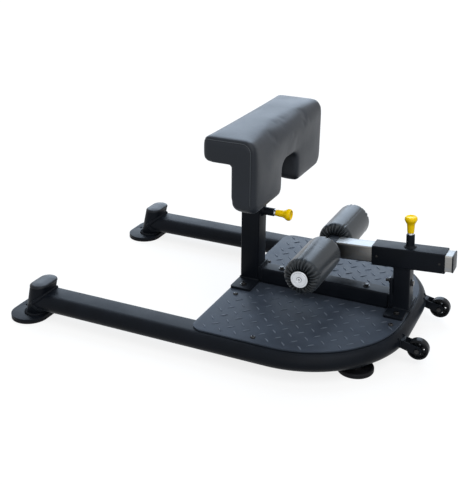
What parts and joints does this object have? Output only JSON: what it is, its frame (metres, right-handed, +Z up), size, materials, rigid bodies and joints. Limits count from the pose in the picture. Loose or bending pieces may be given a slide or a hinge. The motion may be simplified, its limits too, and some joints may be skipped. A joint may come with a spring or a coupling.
{
  "type": "sissy squat bench",
  "caption": "Sissy squat bench: U-shaped floor frame with a tread-plate deck, a height-adjustable calf pad and ankle rollers on a sliding bar.",
  "frame": {"origin": "middle of the bench's box at rest, on the floor", "axes": "+X along the bench towards the roller bar's free end and the wheels, +Y to the side that the picture shows farther away, +Z up"},
  "size_m": [1.2734, 0.88, 0.618],
  "materials": {
    "powder_coat": "satin black powder coat",
    "tread_plate": "satin blue-black powder coat on tread plate",
    "brushed_steel": "bare, brushed along its length",
    "zinc": "zinc plated",
    "black_bolt": "blackened steel",
    "grey_vinyl": "fine-grained grey vinyl",
    "yellow_plastic": "glossy yellow",
    "black_plastic": "glossy black",
    "bush_plastic": "matte black",
    "black_rubber": "matte black rubber",
    "plywood": "bare plywood"
  },
  "bodies": {
    "base_frame": {"frame_tube": "powder_coat", "rear_cross_tube": "powder_coat", "leg_post_left": "powder_coat", "leg_post_right": "powder_coat", "foot_plate_left": "powder_coat", "foot_plate_right": "powder_coat", "rear_post": "powder_coat", "low_beam": "powder_coat", "front_post": "powder_coat", "bar_sleeve": "powder_coat", "sleeve_pin_barrel": "powder_coat", "post_pin_barrel": "powder_coat", "wheel_bracket_left": "powder_coat", "wheel_bracket_right": "powder_coat", "deck_plate": "tread_plate", "through_bolt": "black_bolt", "through_nut": "black_bolt", "beam_bolt_rear": "black_bolt", "beam_bolt_front": "black_bolt", "wheel_bolt_left": "black_bolt", "wheel_bolt_right": "black_bolt", "sleeve_set_screw_rear": "black_bolt", "sleeve_set_screw_front": "black_bolt", "deck_bolt_rear_left": "black_bolt", "deck_bolt_rear_right": "black_bolt", "deck_bolt_front_left": "black_bolt", "deck_bolt_front_right": "black_bolt", "deck_bolt_side_left": "black_bolt", "deck_bolt_side_right": "black_bolt", "rear_plate_bolt_left": "black_bolt", "rear_plate_bolt_right": "black_bolt", "front_plate_bolt_left": "black_bolt", "front_plate_bolt_right": "black_bolt", "leg_cap_left": "black_plastic", "leg_cap_right": "black_plastic", "post_bush": "bush_plastic", "sleeve_bush_rear": "bush_plastic", "sleeve_bush_front": "bush_plastic", "foot_pad_left": "black_rubber", "foot_pad_right": "black_rubber", "front_foot_left": "black_rubber", "front_foot_right": "black_rubber"},
    "pad_carriage": {"pad_post": "powder_coat", "pad_bracket": "powder_coat", "pad_board": "plywood", "calf_pad": "grey_vinyl"},
    "roller_arm": {"roller_bar": "brushed_steel", "bar_end_cap": "black_plastic", "roller_cross_rod": "powder_coat", "roller_end_disc_left": "zinc", "roller_end_disc_right": "zinc"},
    "left_roller": {"roller_left": "grey_vinyl"},
    "right_roller": {"roller_right": "grey_vinyl"},
    "left_wheel": {"wheel_left": "black_plastic"},
    "right_wheel": {"wheel_right": "black_plastic"},
    "sleeve_pin": {"sleeve_pin_plunger": "zinc", "sleeve_pin_knob": "yellow_plastic"},
    "post_pin": {"post_pin_plunger": "zinc", "post_pin_knob": "yellow_plastic"}
  },
  "joints": [
    {"name": "pad_height", "type": "slide", "parent": "base_frame", "child": "pad_carriage", "axis": [0, 0, 1], "range_m": [-0.1, 0.05]},
    {"name": "arm_reach", "type": "slide", "parent": "base_frame", "child": "roller_arm", "axis": [0.9981, 0, 0.0623], "range_m": [-0.015, 0.075]},
    {"name": "left_roller_spin", "type": "hinge", "parent": "roller_arm", "child": "left_roller", "pos_m": [0.2607, 0, 0.24671], "axis": [0, 1, 0], "continuous": true},
    {"name": "right_roller_spin", "type": "hinge", "parent": "roller_arm", "child": "right_roller", "pos_m": [0.2607, 0, 0.24671], "axis": [0, 1, 0], "continuous": true},
    {"name": "left_wheel_spin", "type": "hinge", "parent": "base_frame", "child": "left_wheel", "pos_m": [0.58431, 0.139, 0.048], "axis": [0, 1, 0], "continuous": true},
    {"name": "right_wheel_spin", "type": "hinge", "parent": "base_frame", "child": "right_wheel", "pos_m": [0.58431, -0.139, 0.048], "axis": [0, 1, 0], "continuous": true},
    {"name": "sleeve_pin_pull", "type": "slide", "parent": "base_frame", "child": "sleeve_pin", "axis": [-0.0623, 0, 0.9981], "range_m": [0, 0.01], "stiffness_N_per_m": 600, "springref_m": -0.008},
    {"name": "post_pin_pull", "type": "slide", "parent": "base_frame", "child": "post_pin", "axis": [1, 0, 0], "range_m": [0, 0.01], "stiffness_N_per_m": 600, "springref_m": -0.008}
  ]
}
